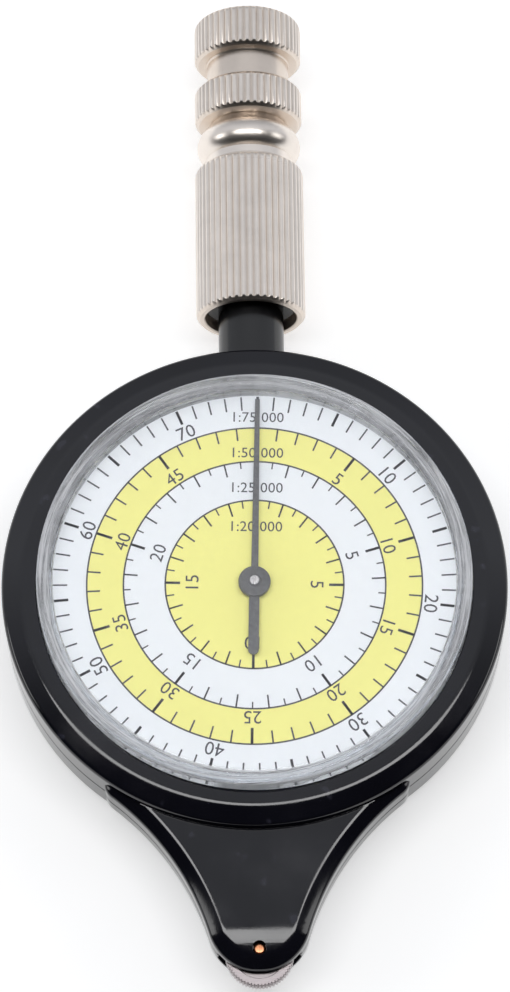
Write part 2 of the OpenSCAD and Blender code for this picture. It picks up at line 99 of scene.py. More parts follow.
def newPoint(name, point):
    # an object of one vertex, left in edit mode with the vertex selected
    deselectAll()
    bpy.ops.mesh.primitive_plane_add(size=mm, location=(0, 0, 0))
    obj = bpy.context.object
    obj.name = obj.data.name = name
    startEdit(obj)
    bpy.ops.mesh.select_all(action="SELECT")
    bpy.ops.mesh.merge(type="CENTER")
    bpy.ops.transform.translate(value=[c * mm for c in point])
    return obj


def drawLine(points):
    # extrudes the selected vertex from point to point, in edit mode
    for a, b in zip(points, points[1:]):
        step = [(q - p) * mm for p, q in zip(a, b)]
        bpy.ops.mesh.extrude_region_move(TRANSFORM_OT_translate={"value": step})


def arc(cx, cy, rx, ry, start, stop, steps=6):
    # points of a quarter ellipse or of a part of one, both ends included
    turns = [math.radians(start + (stop - start) * i / steps) for i in range(steps + 1)]
    return [(cx + rx * math.cos(t), cy + ry * math.sin(t)) for t in turns]


def slope(inset, height, wide, slant, wallR, flatR, steps=6):
    # section from an upright wall over a straight slant to a flat top: (inset, height) points
    a = math.radians(slant)
    run = (wide - wallR * (1 - math.sin(a)) - flatR * math.sin(a)) / math.cos(a)
    x, h = inset, height
    points = [(x, h)]
    for radius, start, stop in ((wallR, math.pi / 2, a), (flatR, a, 0)):
        turns = [start + (stop - start) * i / steps for i in range(steps + 1)]
        points += [(x + radius * (math.sin(start) - math.sin(t)), h + radius * (math.cos(t) - math.cos(start)))
                   for t in turns[1:]]
        x, h = points[-1]
        if stop == a:
            x, h = x + run * math.cos(a), h + run * math.sin(a)
            points.append((x, h))
    return points


def closeUp(obj, merge=0.002, flip=False):
    # doubles merged and all faces turned outwards, in edit mode; leaves it
    bpy.ops.mesh.select_all(action="SELECT")
    bpy.ops.mesh.remove_doubles(threshold=merge * mm)
    bpy.ops.mesh.normals_make_consistent(inside=flip)
    endEdit()


def smooth(obj, angle=32, weighted=True):
    # large flat faces stay flat and only real edges stay sharp
    deselectAll()
    obj.select_set(True)
    bpy.context.view_layer.objects.active = obj
    bpy.ops.object.shade_smooth_by_angle(angle=math.radians(angle))
    if weighted:
        bpy.ops.object.modifier_add(type="WEIGHTED_NORMAL")
        obj.modifiers[-1].keep_sharp = True
        bpy.ops.object.modifier_apply(modifier=obj.modifiers[-1].name)


def lathe(name, profile, steps=192, along="Z", loop=False):
    # spins (radius, place) points about the hands' axis, or about the handle's
    if loop:
        profile = profile + profile[:1]
    if along == "Z":
        points = [(r, 0, midZ + h) for r, h in profile]
        center, axis = (0, 0, 0), (0, 0, 1)
    else:
        points = [(r, y, midZ) for r, y in profile]
        center, axis = (0, 0, midZ * mm), (0, 1, 0)
    obj = newPoint(name, points[0])
    drawLine(points)
    bpy.ops.mesh.select_all(action="SELECT")
    bpy.ops.mesh.spin(steps=steps, angle=2 * math.pi, center=center, axis=axis)
    closeUp(obj)
    return obj


def rod(name, x, y, low, high, radius, steps=64):
    # a plain upright cutter between two heights
    deselectAll()
    bpy.ops.mesh.primitive_cylinder_add(vertices=steps, radius=radius * mm, depth=(high - low) * mm)
    obj = bpy.context.object
    obj.name = name
    startEdit(obj)
    bpy.ops.mesh.select_all(action="SELECT")
    bpy.ops.transform.translate(value=(x * mm, y * mm, (midZ + (low + high) / 2) * mm))
    endEdit()
    return obj


def block(name, wide, long, low, high, y):
    # a plain box as a cutter, between two heights
    deselectAll()
    bpy.ops.mesh.primitive_cube_add(size=mm)
    obj = bpy.context.object
    obj.name = name
    startEdit(obj)
    bpy.ops.mesh.select_all(action="SELECT")
    bpy.ops.transform.resize(value=(wide, long, high - low))
    bpy.ops.transform.translate(value=(0, y * mm, (midZ + (low + high) / 2) * mm))
    endEdit()
    return obj


def combine(obj, other, how):
    # cuts with, adds or keeps what is shared with another mesh, which is used up
    deselectAll()
    bpy.context.view_layer.objects.active = obj
    obj.select_set(True)
    bpy.ops.object.modifier_add(type="BOOLEAN")
    tool = obj.modifiers[-1]
    tool.operation, tool.solver, tool.object = how, "EXACT", other
    bpy.ops.object.modifier_apply(modifier=tool.name)
    bpy.data.objects.remove(other)
    return obj


def join(name, parts):
    deselectAll()
    for part in parts:
        part.select_set(True)
    bpy.context.view_layer.objects.active = parts[0]
    bpy.ops.object.join()
    obj = bpy.context.object
    obj.name = obj.data.name = name
    return obj


def turnedCopy(obj, name):
    # its twin on the rear face: half a turn about the handle's axis
    deselectAll()
    obj.select_set(True)
    bpy.context.view_layer.objects.active = obj
    bpy.ops.object.duplicate()
    twin = bpy.context.object
    twin.name = twin.data.name = name
    startEdit(twin)
    bpy.ops.mesh.select_all(action="SELECT")
    bpy.ops.transform.rotate(value=math.pi, orient_axis="Y", center_override=(0, 0, midZ * mm))
    endEdit()
    return twin


def turnAbout(obj, degrees, x=0, y=0):
    # turns all of a mesh anticlockwise about an upright axis, seen from the front
    startEdit(obj)
    bpy.ops.mesh.select_all(action="SELECT")
    bpy.ops.transform.rotate(value=-math.radians(degrees), orient_axis="Z", center_override=(x * mm, y * mm, 0))
    endEdit()


def dress(obj, material, body, slotName, *nodes):
    # gives a piece its finish, its body and the CAD nodes that it stands for
    if material:
        obj.data.materials.clear()
        obj.data.materials.append(material)
    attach(obj, body)
    if nodes:
        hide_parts(*nodes)
    return obj


# ---------- material helpers ----------

def rgb(r, g, b):
    # screen values 0-255 as the linear colour that a socket takes
    return tuple(((c / 255 + 0.055) / 1.055) ** 2.4 if c > 10 else c / 255 / 12.92 for c in (r, g, b)) + (1,)


def newMaterial(name, settings):
    mat = bpy.data.materials.new(name)
    mat.use_nodes = True
    shader = mat.node_tree.nodes["Principled BSDF"]
    for key, value in settings.items():
        shader.inputs[key].default_value = value
    return mat, shader


def addNode(mat, kind, **settings):
    node = mat.node_tree.nodes.new("ShaderNode" + kind)
    for key, value in settings.items():
        setattr(node, key, value)
    return node


def objectPlace(mat, scale=(1, 1, 1), turn=(0, 0, 0), move=(0, 0, 0)):
    # Object coordinates in millimetres times a scale
    coord = addNode(mat, "TexCoord")
    mapping = addNode(mat, "Mapping")
    mapping.inputs["Scale"].default_value = [s / mm for s in scale]
    mapping.inputs["Rotation"].default_value = turn
    mapping.inputs["Location"].default_value = move
    mat.node_tree.links.new(coord.outputs["Object"], mapping.inputs["Vector"])
    return mapping.outputs["Vector"]


def noise(mat, place, scale, detail=3.0, roughness=0.5):
    node = addNode(mat, "TexNoise")
    node.inputs["Scale"].default_value = scale
    node.inputs["Detail"].default_value = detail
    node.inputs["Roughness"].default_value = roughness
    mat.node_tree.links.new(place, node.inputs["Vector"])
    return node.outputs["Fac"]


def ramp(mat, factor, stops, constant=False):
    # stops are (place, colour or grey level)
    node = addNode(mat, "ValToRGB")
    bar = node.color_ramp
    bar.interpolation = "CONSTANT" if constant else "LINEAR"
    while len(bar.elements) < len(stops):
        bar.elements.new(0.5)
    for element, (spot, value) in zip(bar.elements, stops):
        element.position = spot
        element.color = value if isinstance(value, tuple) else (value, value, value, 1)
    mat.node_tree.links.new(factor, node.inputs["Fac"])
    return node.outputs["Color"]


def radiusShare(mat, full):
    # distance from the hands' axis as a share of a full radius in millimetres
    coord = addNode(mat, "TexCoord")
    flat = addNode(mat, "VectorMath", operation="MULTIPLY")
    flat.inputs[1].default_value = (1 / mm, 1 / mm, 0)
    link(mat, coord.outputs["Object"], flat.inputs[0])
    length = addNode(mat, "VectorMath", operation="LENGTH")
    link(mat, flat.outputs[0], length.inputs[0])
    share = addNode(mat, "Math", operation="DIVIDE")
    share.inputs[1].default_value = full
    link(mat, length.outputs["Value"], share.inputs[0])
    return share.outputs[0]


def bump(mat, shader, height, strength, distance):
    node = addNode(mat, "Bump")
    node.inputs["Strength"].default_value = strength
    node.inputs["Distance"].default_value = distance * mm
    mat.node_tree.links.new(height, node.inputs["Height"])
    mat.node_tree.links.new(node.outputs["Normal"], shader.inputs["Normal"])
    return node


def link(mat, output, socket):
    mat.node_tree.links.new(output, socket)


# ---------- materials ----------

def blackPlastic(name, tone=rgb(13, 13, 21), gloss=0.08, spread=0.10):
    # moulded ABS: near black with a cool cast, glossy, with faint handling marks and dust
    mat, shader = newMaterial(name, {"Specular IOR Level": 0.5, "IOR": 1.60})
    place = objectPlace(mat)
    cloud = noise(mat, place, 0.13, 4)
    speck = noise(mat, place, 3.2, 2, 0.6)
    darker = tuple(c * 0.8 for c in tone[:3]) + (1,)
    lighter = tuple(c * 1.3 for c in tone[:3]) + (1,)
    smudge = addNode(mat, "Mix", data_type="RGBA")
    link(mat, ramp(mat, noise(mat, place, 0.5, 2, 0.4), [(0.68, 0.0), (0.74, 1.0)]), smudge.inputs[0])
    link(mat, ramp(mat, cloud, [(0.3, darker), (0.7, lighter)]), smudge.inputs[6])
    smudge.inputs[7].default_value = rgb(40, 40, 50)
    link(mat, smudge.outputs[2], shader.inputs["Base Color"])
    rub = addNode(mat, "Math", operation="MULTIPLY_ADD")
    link(mat, ramp(mat, cloud, [(0.42, 0.0), (0.72, 1.0)]), rub.inputs[0])
    rub.inputs[1].default_value = spread
    rub.inputs[2].default_value = gloss
    link(mat, rub.outputs[0], shader.inputs["Roughness"])
    bump(mat, shader, speck, 0.10, 0.02)
    return mat


def turnedMetal(name, tone, gloss, lines=9.0, depth=0.35, knurled=False):
    # plated and lathe turned: fine rings along the handle's length, soft tarnish
    mat, shader = newMaterial(name, {"Metallic": 1.0})
    ringPlace = objectPlace(mat, scale=(0.02, lines, 0.02))
    place = objectPlace(mat)
    rings = noise(mat, ringPlace, 1.0, 3, 0.7)
    cloud = noise(mat, place, 0.5, 4, 0.6)
    darker = tuple(c * 0.92 for c in tone[:3]) + (1,)
    color = ramp(mat, cloud, [(0.3, darker), (0.65, tone)])
    if knurled:
        # painted shade: the colour darkens where the surface lies deeper towards the handle's axis, in the knurl
        # grooves and the narrower turned parts
        p = handlePlan
        coord = addNode(mat, "TexCoord")
        axes = addNode(mat, "SeparateXYZ")
        link(mat, coord.outputs["Object"], axes.inputs[0])
        lift = addNode(mat, "Math", operation="SUBTRACT")
        link(mat, axes.outputs["Z"], lift.inputs[0])
        lift.inputs[1].default_value = midZ * mm
        flat = addNode(mat, "CombineXYZ")
        link(mat, axes.outputs["X"], flat.inputs["X"])
        link(mat, lift.outputs[0], flat.inputs["Z"])
        reach = addNode(mat, "VectorMath", operation="LENGTH")
        link(mat, flat.outputs[0], reach.inputs[0])
        deep = addNode(mat, "MapRange")
        link(mat, reach.outputs["Value"], deep.inputs["Value"])
        for socket, value in (("From Min", p["sleeveR"] - p["depth"]), ("From Max", p["sleeveR"] - 0.3 * p["depth"])):
            deep.inputs[socket].default_value = value * mm
        # the plain bead between sleeve and rings gets none of this painted shade
        plain = addNode(mat, "Math", operation="COMPARE")
        link(mat, axes.outputs["Y"], plain.inputs[0])
        plain.inputs[1].default_value = p["beadY"] * mm
        plain.inputs[2].default_value = p["beadSection"] * 1.2 * mm
        shadeFree = addNode(mat, "Math", operation="MAXIMUM")
        link(mat, deep.outputs[0], shadeFree.inputs[0])
        link(mat, plain.outputs[0], shadeFree.inputs[1])
        grooveShade = addNode(mat, "Mix", data_type="RGBA", blend_type="MULTIPLY")
        grooveShade.inputs[0].default_value = 1.0
        link(mat, color, grooveShade.inputs[6])
        link(mat, ramp(mat, shadeFree.outputs[0], [(0.0, rgb(240, 236, 232)), (1.0, rgb(255, 255, 255))]), grooveShade.inputs[7])
        color = grooveShade.outputs[2]
    link(mat, color, shader.inputs["Base Color"])
    blend = addNode(mat, "Math", operation="MULTIPLY_ADD")
    link(mat, rings, blend.inputs[0])
    blend.inputs[1].default_value = 0.12
    blend.inputs[2].default_value = gloss - 0.06
    link(mat, blend.outputs[0], shader.inputs["Roughness"])
    bump(mat, shader, rings, depth, 0.02)
    return mat


def gearMetal(name, tone, gloss):
    # rolled and cut sheet: cloudy tarnish and a fine grain
    mat, shader = newMaterial(name, {"Metallic": 1.0})
    place = objectPlace(mat)
    cloud = noise(mat, place, 0.6, 5, 0.6)
    grain = noise(mat, objectPlace(mat, scale=(6, 0.6, 6)), 1.0, 3)
    darker = tuple(c * 0.7 for c in tone[:3]) + (1,)
    link(mat, ramp(mat, cloud, [(0.3, darker), (0.62, tone)]), shader.inputs["Base Color"])
    rub = addNode(mat, "Math", operation="MULTIPLY_ADD")
    link(mat, grain, rub.inputs[0])
    rub.inputs[1].default_value = 0.2
    rub.inputs[2].default_value = gloss - 0.1
    link(mat, rub.outputs[0], shader.inputs["Roughness"])
    bump(mat, shader, grain, 0.15, 0.01)
    return mat


def clearAcrylic(name):
    # light reaches the dial through it, and its face has a few faint rubbed patches
    mat, shader = newMaterial(name, {"Transmission Weight": 1.0, "IOR": 1.49, "Base Color": rgb(252, 252, 252)})
    rubbed = noise(mat, objectPlace(mat), 0.1, 5, 0.6)
    link(mat, ramp(mat, rubbed, [(0.5, 0.012), (0.75, 0.05)]), shader.inputs["Roughness"])
    wave = addNode(mat, "Math", operation="MULTIPLY")
    spread = addNode(mat, "Math", operation="MULTIPLY")
    link(mat, radiusShare(mat, lensR), spread.inputs[0])
    spread.inputs[1].default_value = 90.0
    ringAxis = addNode(mat, "CombineXYZ")
    link(mat, spread.outputs[0], ringAxis.inputs["X"])
    along = addNode(mat, "VectorMath", operation="ADD")
    link(mat, ringAxis.outputs[0], along.inputs[0])
    link(mat, objectPlace(mat, scale=(0.13, 0.13, 0.13)), along.inputs[1])
    streaks = noise(mat, along.outputs[0], 1.0, 3, 0.7)
    rim = ramp(mat, radiusShare(mat, lensR), [(0.925, 0.0), (0.945, 1.0)])
    link(mat, streaks, wave.inputs[0])
    link(mat, rim, wave.inputs[1])
    bump(mat, shader, wave.outputs[0], 0.7, 0.09)
    path = addNode(mat, "LightPath")
    see = addNode(mat, "BsdfTransparent")
    see.inputs["Color"].default_value = (0.97, 0.98, 0.98, 1)
    mix = addNode(mat, "MixShader")
    link(mat, path.outputs["Is Shadow Ray"], mix.inputs["Fac"])
    frost = addNode(mat, "BsdfDiffuse")
    frost.inputs["Color"].default_value = rgb(246, 247, 250)
    frosted = addNode(mat, "Math", operation="MULTIPLY")
    link(mat, ramp(mat, streaks, [(0.42, 0.02), (0.6, 0.7)]), frosted.inputs[0])
    link(mat, rim, frosted.inputs[1])
    rimMix = addNode(mat, "MixShader")
    link(mat, frosted.outputs[0], rimMix.inputs["Fac"])
    link(mat, shader.outputs["BSDF"], rimMix.inputs[1])
    link(mat, frost.outputs["BSDF"], rimMix.inputs[2])
    link(mat, rimMix.outputs["Shader"], mix.inputs[1])
    link(mat, see.outputs["BSDF"], mix.inputs[2])
    link(mat, mix.outputs["Shader"], mat.node_tree.nodes["Material Output"].inputs["Surface"])
    return mat


def printedDial(name):
    # printed card: zones by radius, with a painted shadow line at the card's edge and painted shade under the lens
    # wall, and the faint grain of the paper
    dial = dialPlan
    mat, shader = newMaterial(name, {"Roughness": 0.55, "Specular IOR Level": 0.35})
    share = radiusShare(mat, dial["outerR"] + 1)
    edges = [r / (dial["outerR"] + 1) for r in dial["rings"]]
    zones = [(0.0, dial["yellow"]), (edges[0], dial["white"]), (edges[1], dial["yellow"]), (edges[2], dial["white"]),
             # painted shadow: a dark line at the card's edge, then painted shade in the zone under the lens wall
             (dial["cardR"] / (dial["outerR"] + 1), dial["edge"]),
             ((dial["cardR"] + dial["shadowLineW"]) / (dial["outerR"] + 1), dial["under"])]
    zoneColor = ramp(mat, share, zones, constant=True)
    fibre = noise(mat, objectPlace(mat), 1.6, 5, 0.7)
    tint = addNode(mat, "Mix", data_type="RGBA", blend_type="MULTIPLY")
    tint.inputs[0].default_value = 1.0
    link(mat, zoneColor, tint.inputs[6])
    link(mat, ramp(mat, fibre, [(0.3, 0.965), (0.7, 1.0)]), tint.inputs[7])
    link(mat, tint.outputs[2], shader.inputs["Base Color"])
    bump(mat, shader, fibre, 0.1, 0.01)
    return mat


def printInk(name):
    mat, shader = newMaterial(name, {"Roughness": 0.5})
    patch = noise(mat, objectPlace(mat), 4.0, 4, 0.7)
    link(mat, ramp(mat, patch, [(0.3, rgb(52, 51, 62)), (0.7, rgb(74, 73, 84))]), shader.inputs["Base Color"])
    return mat


def satinBlack(name):
    # painted hand: dark grey satin with a trace of grain
    mat, shader = newMaterial(name, {"Specular IOR Level": 0.5})
    grain = noise(mat, objectPlace(mat), 2.5, 4, 0.6)
    link(mat, ramp(mat, grain, [(0.3, rgb(80, 80, 84)), (0.7, rgb(106, 106, 110))]), shader.inputs["Base Color"])
    link(mat, ramp(mat, grain, [(0.3, 0.3), (0.7, 0.45)]), shader.inputs["Roughness"])
    bump(mat, shader, grain, 0.2, 0.01)
    return mat


def stagePaper(name):
    # plain pale floor; where it is seen, also in metal and glass, a lift makes it white and keeps the shadow
    mat, shader = newMaterial(name, {"Roughness": 0.85, "Specular IOR Level": 0.1})
    speckle = noise(mat, objectPlace(mat), 0.05, 3)
    link(mat, ramp(mat, speckle, [(0.3, rgb(232, 232, 232)), (0.7, rgb(236, 236, 236))]), shader.inputs["Base Color"])
    path = addNode(mat, "LightPath")
    seen = path.outputs["Is Camera Ray"]
    for kind in ("Is Glossy Ray", "Is Transmission Ray"):
        either = addNode(mat, "Math", operation="MAXIMUM")
        link(mat, seen, either.inputs[0])
        link(mat, path.outputs[kind], either.inputs[1])
        seen = either.outputs[0]
    lift = addNode(mat, "Math", operation="MULTIPLY")
    link(mat, seen, lift.inputs[0])
    lift.inputs[1].default_value = 0.5
    glow = addNode(mat, "Emission")
    link(mat, lift.outputs[0], glow.inputs["Strength"])
    both = addNode(mat, "AddShader")
    link(mat, shader.outputs["BSDF"], both.inputs[0])
    link(mat, glow.outputs["Emission"], both.inputs[1])
    link(mat, both.outputs["Shader"], mat.node_tree.nodes["Material Output"].inputs["Surface"])
    return mat


dialPlan = {
    "outerR": 21.2, "cardR": 20.05, "rings": (8.75, 12.85, 16.45), "lineW": 0.18,
    "yellow": rgb(250, 245, 150), "white": rgb(245, 248, 254),
    # edge and under are painted shade: a dark shadow line at the card's edge and a grey zone under the lens wall
    "shadowLineW": 0.14, "edge": rgb(96, 96, 100), "under": rgb(212, 212, 216),
    # radius, divisions, tick length, bold every so many, bold and plain width, half ticks' length
    "scales": [
        {"from": 19.8, "to": 18.35, "count": 75, "boldTo": 18.3, "bold": 5, "boldW": 0.27, "plainW": 0.165,
         "half": 0, "step": 10, "top": 75, "numberR": 17.3, "numberSize": 1.93},
        {"from": 16.45, "to": 15.15, "count": 50, "boldTo": 14.8, "bold": 5, "boldW": 0.27, "plainW": 0.165,
         "half": 0, "step": 5, "top": 50, "numberR": 13.65, "numberSize": 1.84},
        {"from": 12.85, "to": 11.5, "count": 25, "boldTo": 11.4, "bold": 5, "boldW": 0.26, "plainW": 0.165,
         "half": 0.7, "step": 5, "top": 25, "numberR": 9.95, "numberSize": 1.84},
        {"from": 8.75, "to": 7.35, "count": 20, "boldTo": 7.3, "bold": 5, "boldW": 0.26, "plainW": 0.165,
         "half": 0.8, "step": 5, "top": 20, "numberR": 6.05, "numberSize": 1.84},
    ],
    "labelY": (17.55, 13.75, 10.05, 5.95), "labelSize": 1.5, "labelSpan": 5.6,
}
handlePlan = {
    "ridges": 48, "perRidge": 8, "depth": 0.19, "sleeveR": 5.55, "sleeveTo": 46.0, "boreR": 4.63, "boreTo": 41.0,
    "grooveR": 4.5, "beadR": 5.3, "beadSection": 1.9, "beadY": 48.7, "ringR": 5.5, "ring": (51.2, 55.1),
    "underR": 3.3, "waistR": 4.3, "waistTo": 58.2, "mouthBevel": 0.4, "shoulder": 0.7,
}
glossBlack = blackPlastic("moulded_black")
stemBlack = blackPlastic("stem_black", tone=rgb(16, 16, 18), gloss=0.16)
acrylic = clearAcrylic("clear_acrylic")
card = printedDial("printed_card")
ink = printInk("print_ink")
handPaint = satinBlack("hand_paint")
platedMetal = turnedMetal("plated_metal", rgb(247, 238, 229), 0.30, depth=0.05, knurled=True)
wheelMetal = turnedMetal("wheel_metal", rgb(168, 160, 161), 0.28, lines=3.0, depth=0.15)
copper = gearMetal("copper_pin", rgb(232, 160, 118), 0.3)
brass = gearMetal("gear_brass", rgb(216, 184, 105), 0.3)
steel = gearMetal("arbor_steel", rgb(232, 228, 228), 0.26)
paper = stagePaper("stage_paper")
print("materials made")


# ---------- case shells ----------

casePlan = {
    "wallR": 24.8, "crown": {"wide": 2.2, "slant": 18.0, "wallR": 0.6, "flatR": 1.9}, "topH": 4.4,
    "groove": 0.085, "grooveIn": 0.4, "edge": 0.04,  # black line between the two shells
    "boreR": 21.35, "boreEdge": 0.12, "floorH": 2.6, "cavityR": 21.0, "cavityH": 2.0,
    "steps": 240,
    "flank": (31.39, -42.97), "flankR": 27.82, "flankFrom": 128.4, "flankTo": 163.21,
    "shoulderR": 1.7, "shoulderTurn": 62.0,
    "noseY": -33.5, "noseR": 4.9675, "panelH": 2.8, "brim": {"wide": 1.6, "slant": 28.0, "wallR": 0.5, "flatR": 1.2},
    "fillet": 0.28, "filletHalf": 27.0,
    "fallY": -34.0, "lipH": 1.35, "fallSteps": 18,
    # place, radius and height of the rooms for centre arbor, first gear, idler, tracing wheel and first arbor
    "rooms": ((0, 0.80, 3.2), (-14.4, 12.6, 1.996), (-30.4, 4.6, 1.992), (wheelY, wheelR + 0.35, 1.05),
              (-14.4, 0.65, 3.2)),
    "pinionRoom": (2.72, 1.9),
    "skirtH": -0.6,  # both halves reach past the parting plane until they are cut there
}


def roundPart():
    # a groove at the seam, an upright wall, a low crown up to the flat bezel
    c = casePlan
    inside = c["wallR"] - c["grooveIn"]
    profile = [(0, c["skirtH"]), (inside, c["skirtH"]), (inside, c["groove"]), (c["wallR"] - c["edge"], c["groove"]),
               (c["wallR"], c["groove"] + c["edge"])]
    crown = slope(0, 0, **c["crown"])
    rise = c["topH"] - crown[-1][1]
    profile += [(c["wallR"] - d, h + rise) for d, h in crown] + [(0, c["topH"])]
    return lathe("roundPart", profile, c["steps"])


def panelFillet():
    # soft corner between the panel and the round case, as part of a ring
    c = casePlan
    r, top = c["fillet"], c["wallR"]
    profile = [(top - 1.0, c["panelH"] - 0.4), (top + 0.06, c["panelH"] - 0.4)]
    profile += arc(top + 0.06, c["panelH"] + r - 0.005, r, r, 270, 190, 8)
    profile += [(top - 1.0, c["panelH"] + r)]
    start = math.radians(-90 - c["filletHalf"])
    points = [(x * math.cos(start), x * math.sin(start), midZ + h) for x, h in profile + profile[:1]]
    obj = newPoint("panelFillet", points[0])
    drawLine(points)
    bpy.ops.mesh.select_all(action="SELECT")
    bpy.ops.mesh.remove_doubles(threshold=0.001 * mm)
    bpy.ops.mesh.edge_face_add()
    bpy.ops.mesh.spin(steps=48, angle=-math.radians(2 * c["filletHalf"]), center=(0, 0, 0), axis=(0, 0, 1))
    closeUp(obj)
    return obj


def edgeSection():
    # inset from the flank and height: groove, upright wall, rounded edge up to the flat panel
    c = casePlan
    points = [(c["grooveIn"], c["skirtH"] - 0.2), (c["grooveIn"], c["groove"]), (c["edge"], c["groove"]),
              (0, c["groove"] + c["edge"])]
    brim = slope(0, 0, **c["brim"])
    rise = c["panelH"] - brim[-1][1]
    return points + [(d, h + rise) for d, h in brim]


def neckFactor(y):
    # how far the neck's height is scaled at a place along it: full, then rounded down to the tip
    c = casePlan
    tipY = c["noseY"] - c["noseR"]
    share = min(max((c["fallY"] - y) / (c["fallY"] - tipY), 0), 1)
    return (c["lipH"] + (c["panelH"] - c["lipH"]) * math.sqrt(1 - share * share)) / c["panelH"]


def neckPart():
    # one section swept down a flank, round the nose and up the other flank, with a shoulder at both ends
    c = casePlan
    fx, fy = c["flank"]
    a = math.radians(c["flankFrom"])
    reach = c["flankR"] + c["shoulderR"]
    hubX, hubY = fx + reach * math.cos(a), fy + reach * math.sin(a)
    first = a + math.pi + math.radians(c["shoulderTurn"])
    section = [(hubX + (c["shoulderR"] - d) * math.cos(first), hubY + (c["shoulderR"] - d) * math.sin(first), midZ + h)
               for d, h in edgeSection()]
    obj = newPoint("neckPart", section[0])
    drawLine(section)
    bpy.ops.mesh.select_all(action="SELECT")
    turn = math.radians(c["shoulderTurn"])
    sweep = math.radians(c["flankTo"] - c["flankFrom"])
    noseTurn = math.radians(2 * (c["flankTo"] - 90))
    for steps, angle, x, y in ((14, turn, hubX, hubY), (44, -sweep, fx, fy), (72, noseTurn, 0, c["noseY"]),
                               (44, -sweep, -fx, fy), (14, turn, -hubX, hubY)):
        bpy.ops.mesh.spin(steps=steps, angle=angle, center=(x * mm, y * mm, 0), axis=(0, 0, 1))
    # panel, floor and the hidden end inside the case
    bpy.ops.mesh.select_mode(type="EDGE")
    bpy.ops.mesh.select_all(action="DESELECT")
    bpy.ops.mesh.select_non_manifold(extend=False, use_wire=False, use_boundary=True, use_multi_face=False,
                                     use_non_contiguous=False, use_verts=False)
    bm = bmesh.from_edit_mesh(obj.data)
    for high in (True, False):
        for e in bm.edges:
            z = [v.co.z / mm - midZ for v in e.verts]
            level = c["panelH"] if high else c["skirtH"] - 0.2
            e.select = e.is_boundary and all(abs(h - level) < 0.004 for h in z)
        bm.select_flush_mode()
        bmesh.update_edit_mesh(obj.data)
        bpy.ops.mesh.edge_face_add()
        bm = bmesh.from_edit_mesh(obj.data)
    for e in bm.edges:
        e.select = e.is_boundary
    bm.select_flush_mode()
    bmesh.update_edit_mesh(obj.data)
    bpy.ops.mesh.edge_face_add()
    # slices through the fall, then each level gets its height
    fall = c["fallY"] - c["noseY"] + c["noseR"]
    for i in range(c["fallSteps"]):
        y = c["fallY"] - fall * math.sin(math.pi / 2 * i / c["fallSteps"])
        bpy.ops.mesh.select_all(action="SELECT")
        bpy.ops.mesh.bisect(plane_co=(0, y * mm, 0), plane_no=(0, 1, 0))
    bpy.ops.mesh.select_mode(type="VERT")
    groups = {}
    for v in bmesh.from_edit_mesh(obj.data).verts:
        groups.setdefault(round(neckFactor(v.co.y / mm), 3), []).append(v.index)
    for k, members in groups.items():
        if k == 1:
            continue
        bpy.ops.mesh.select_all(action="DESELECT")
        bm = bmesh.from_edit_mesh(obj.data)
        bm.verts.ensure_lookup_table()
        for i in members:
            bm.verts[i].select = True
        bmesh.update_edit_mesh(obj.data)
        bpy.ops.transform.resize(value=(1, 1, k), center_override=(0, 0, midZ * mm))
    closeUp(obj, merge=0.0005)
    return obj


def caseShell(name):
    c = casePlan
    shell = combine(roundPart(), neckPart(), "UNION")
    combine(shell, panelFillet(), "UNION")
    edge = c["boreEdge"]
    bore = [(0, c["floorH"]), (c["boreR"], c["floorH"]), (c["boreR"], c["topH"] - edge)]
    bore += arc(c["boreR"] + edge, c["topH"] - edge, edge, edge, 180, 90, 4)[1:]
    bore += [(c["boreR"] + edge, c["topH"] + 1), (0, c["topH"] + 1)]
    combine(shell, lathe("bore", bore, c["steps"]), "DIFFERENCE")
    combine(shell, lathe("cavity", [(0, -1), (c["cavityR"], -1), (c["cavityR"], c["cavityH"]), (0, c["cavityH"])],
                         c["steps"]), "DIFFERENCE")
    for y, r, h in c["rooms"]:
        combine(shell, rod("room", 0, y, -1, h, r, 96), "DIFFERENCE")
    combine(shell, block("slot", 40, 6, -1, 1.05, wheelY - 3), "DIFFERENCE")
    pinHole = [(0, -1), (0.66, -1), (0.66, 3.9), (0, 3.9)]
    hole = lathe("pinHole", pinHole, 48)
    startEdit(hole)
    bpy.ops.mesh.select_all(action="SELECT")
    bpy.ops.transform.translate(value=(0, wheelY * mm, 0))
    endEdit()
    combine(shell, hole, "DIFFERENCE")
    combine(shell, lathe("stemSeat", [(0, 24.5), (3.36, 24.5), (3.36, 30), (0, 30)], 96, along="Y"), "DIFFERENCE")
    combine(shell, lathe("rodHole", [(0, 15), (1.65, 15), (1.65, 26), (0, 26)], 48, along="Y"), "DIFFERENCE")
    combine(shell, block("belowSeam", 80, 120, -3, 0, 0), "DIFFERENCE")
    shell.name = shell.data.name = name
    startEdit(shell)
    closeUp(shell, merge=0.0004)
    return shell


frontShell = caseShell("caseFront")
rearShell = turnedCopy(frontShell, "caseRear")
pinionRoom = rod("pinionRoom", 0, wheelY, -casePlan["pinionRoom"][1], 1, casePlan["pinionRoom"][0], 96)
combine(rearShell, pinionRoom, "DIFFERENCE")
smooth(frontShell)
smooth(rearShell)
dress(frontShell, glossBlack, "housing", "case_plastic", "front_case")
dress(rearShell, glossBlack, "housing", "case_plastic", "rear_case")
print("case shells made")


# ---------- lenses ----------

lensPlan = {"wall": 1.4, "faceT": 1.1, "edgeR": 0.55, "innerR": 0.25, "footR": 0.08, "steps": 240}


